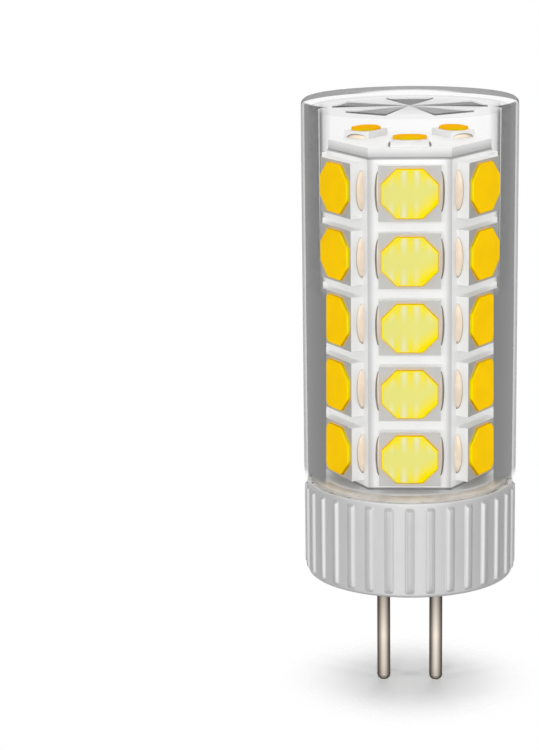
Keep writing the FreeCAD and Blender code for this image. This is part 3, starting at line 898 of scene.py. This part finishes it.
def face_places(face):
    turn = Matrix.Rotation(2 * math.pi * face / FACES, 4, "Z")
    lay = Matrix.Rotation(math.pi / 2, 4, "X")
    return [turn @ Matrix.Translation((0, -COLUMN_APOTHEM, LED_TOP_ROW_Z - row * LED_PITCH)) @ lay
            for row in range(LED_ROWS)]


def top_places():
    seat = Matrix.Translation((0, -TOP_LED_RING, TOP_BOARD_Z))
    return [Matrix.Rotation(2 * math.pi * i / TOP_LEDS, 4, "Z") @ seat for i in range(TOP_LEDS)]


def placed(verts, faces, places):
    all_verts, all_faces = [], []
    for place in places:
        first = len(all_verts)
        all_verts += [tuple(place @ Vector(v)) for v in verts]
        all_faces += [tuple(first + i for i in f) for f in faces]
    return all_verts, all_faces


def windows(name, size, thickness, places, slot, replaced):
    verts, faces, spots, rim = window_shape(size, thickness)
    all_verts, all_faces = placed(verts, faces, places)
    piece = make_piece(name, all_verts, all_faces, MATERIALS[slot], replaced, 50.0)
    mesh = piece.data
    layer = mesh.uv_layers.new(name="window")
    for loop in mesh.loops:
        layer.data[loop.index].uv = spots[loop.vertex_index % len(verts)]
    share = mesh.attributes.new("rim", "FLOAT", "POINT")
    for i in range(len(mesh.vertices)):
        share.data[i].value = rim[i % len(verts)]
    return piece


def joints(name, half_width, size, places, replaced):
    verts, faces = placed(*fillet_shape(half_width, size), places)
    return make_piece(name, verts, faces, MATERIALS["solder"], replaced, 60.0)


def leds():
    for face in range(FACES):
        tail = "face_%d" % (face + 1)
        places = face_places(face)
        windows("windows_" + tail, WINDOW, LED_THICKNESS, places, "phosphor", "led_phosphor_" + tail)
        joints("joints_" + tail, LED_WIDTH / 2, FILLET, places, "solder_fillets_" + tail)
    places = top_places()
    windows("windows_top", TOP_WINDOW, TOP_LED_THICKNESS, places, "phosphor_top", "led_phosphor_top")
    joints("joints_top", TOP_LED_WIDTH / 2, TOP_FILLET, places, "solder_fillets_top")


# Carried-over nodes get their slot's material, and soft edges where they show


def dress_nodes():
    slots = {s["node"]: s["material_slot"] for s in frame["record"]["subparts"]}
    for name, node in NODES.items():
        node.data.materials.clear()
        look = "led_body_top" if name == "led_packages_top" else slots[name]
        node.data.materials.append(MATERIALS[look])
        if name.startswith("led_packages") or name in ("led_board", "top_board"):
            soft = node.modifiers.new("soft_edges", "BEVEL")
            soft.width = EDGE_BEVEL * MM
            soft.segments = 3
            soft.limit_method = "ANGLE"
            soft.harden_normals = True


# Studio


def floor():
    z = Vector(CAD_BOUNDS[0]).z
    mesh = bpy.data.meshes.new("floor")
    corners = [(x * FLOOR_SIZE, y * FLOOR_SIZE, z) for x, y in ((-1, -1), (1, -1), (1, 1), (-1, 1))]
    mesh.from_pydata(corners, [], [(0, 1, 2, 3)])
    n = Nodes(bpy.data.materials.new("floor_white"))
    path = n.add("ShaderNodeLightPath").outputs
    level = n.ramp(path["Is Diffuse Ray"], 0.0, 1.0, FLOOR_WHITE, FLOOR_BOUNCE)
    diffuse = n.add("ShaderNodeBsdfDiffuse", {"Color": n.grey(level)}).outputs[0]
    seen = n.math("MAXIMUM", path["Is Camera Ray"], path["Is Transmission Ray"])
    strength = n.math("MULTIPLY", seen, FLOOR_GLOW)
    glow = n.add("ShaderNodeEmission", {"Color": WHITE, "Strength": strength}).outputs[0]
    near = n.add("ShaderNodeAddShader", {0: diffuse, 1: glow}).outputs[0]
    away = n.add("ShaderNodeVectorMath", {0: n.geometry("Position")}, operation="LENGTH").outputs["Value"]
    fade = n.math("MAXIMUM", n.ramp(away, *FLOOR_FADE), path["Is Glossy Ray"])
    mesh.materials.append(n.finish(n.shader_mix(fade, near, n.transparent(WHITE))))
    obj = bpy.data.objects.new("floor", mesh)
    bpy.context.scene.collection.objects.link(obj)


def area_lamp(name, place, size, power):
    data = bpy.data.lights.new(name, "AREA")
    data.shape = "RECTANGLE"
    data.size, data.size_y = size
    data.energy = power
    lamp = bpy.data.objects.new(name, data)
    lamp.location = place
    lamp.rotation_euler = (Vector(LIT_POINT) - Vector(place)).to_track_quat("-Z", "Y").to_euler()
    lamp.visible_glossy = False
    bpy.context.scene.collection.objects.link(lamp)


def lights():
    area_lamp("key", (-0.05, -0.68, 0.14), (0.4, 0.3), KEY_POWER)
    area_lamp("top", (0.0, 0.0, 0.7), (0.7, 0.7), TOP_POWER)
    area_lamp("back", (0.05, 0.62, 0.22), (0.4, 0.3), BACK_POWER)
    area_lamp("side_left", (-0.56, -0.3, 0.2), (0.1, 0.4), SIDE_POWER)
    area_lamp("side_right", (0.56, -0.3, 0.2), (0.1, 0.4), SIDE_POWER)
    n = Nodes(bpy.data.worlds.new("studio"))
    path = n.add("ShaderNodeLightPath").outputs
    seen = n.math("MAXIMUM", path["Is Camera Ray"], path["Is Glossy Ray"])
    seen = n.math("MAXIMUM", seen, path["Is Transmission Ray"])
    level = n.ramp(seen, 0.0, 1.0, WORLD_LEVEL, 1.0, smooth=False)
    sky = n.add("ShaderNodeBackground", {"Color": WHITE, "Strength": level}).outputs[0]
    bpy.context.scene.world = n.finish(sky, "ShaderNodeOutputWorld")


def camera():
    data = bpy.data.cameras.new("camera")
    data.lens = CAMERA_LENS_MM
    data.sensor_width = CAMERA_SENSOR_MM
    data.clip_start = 0.01
    data.clip_end = 10.0
    yaw, pitch, roll = (math.radians(a) for a in (CAMERA_YAW_DEG, CAMERA_PITCH_DEG, CAMERA_ROLL_DEG))
    forward = Vector((math.sin(yaw) * math.cos(pitch), math.cos(yaw) * math.cos(pitch), -math.sin(pitch)))
    level = forward.cross(UP).normalized()
    rise = level.cross(forward)
    right = math.cos(roll) * level + math.sin(roll) * rise
    up = math.cos(roll) * rise - math.sin(roll) * level
    turn = Matrix((right, up, -forward)).transposed().to_4x4()
    obj = bpy.data.objects.new("camera", data)
    obj.matrix_world = Matrix.Translation(Vector(CAMERA_PLACE_MM) * MM) @ turn
    bpy.context.scene.collection.objects.link(obj)
    bpy.context.scene.camera = obj


dress_nodes()
clear_cover()
ceramic_base()
cover_adhesive()
leds()
floor()
lights()
camera()
bpy.context.scene.view_settings.view_transform = "Standard"
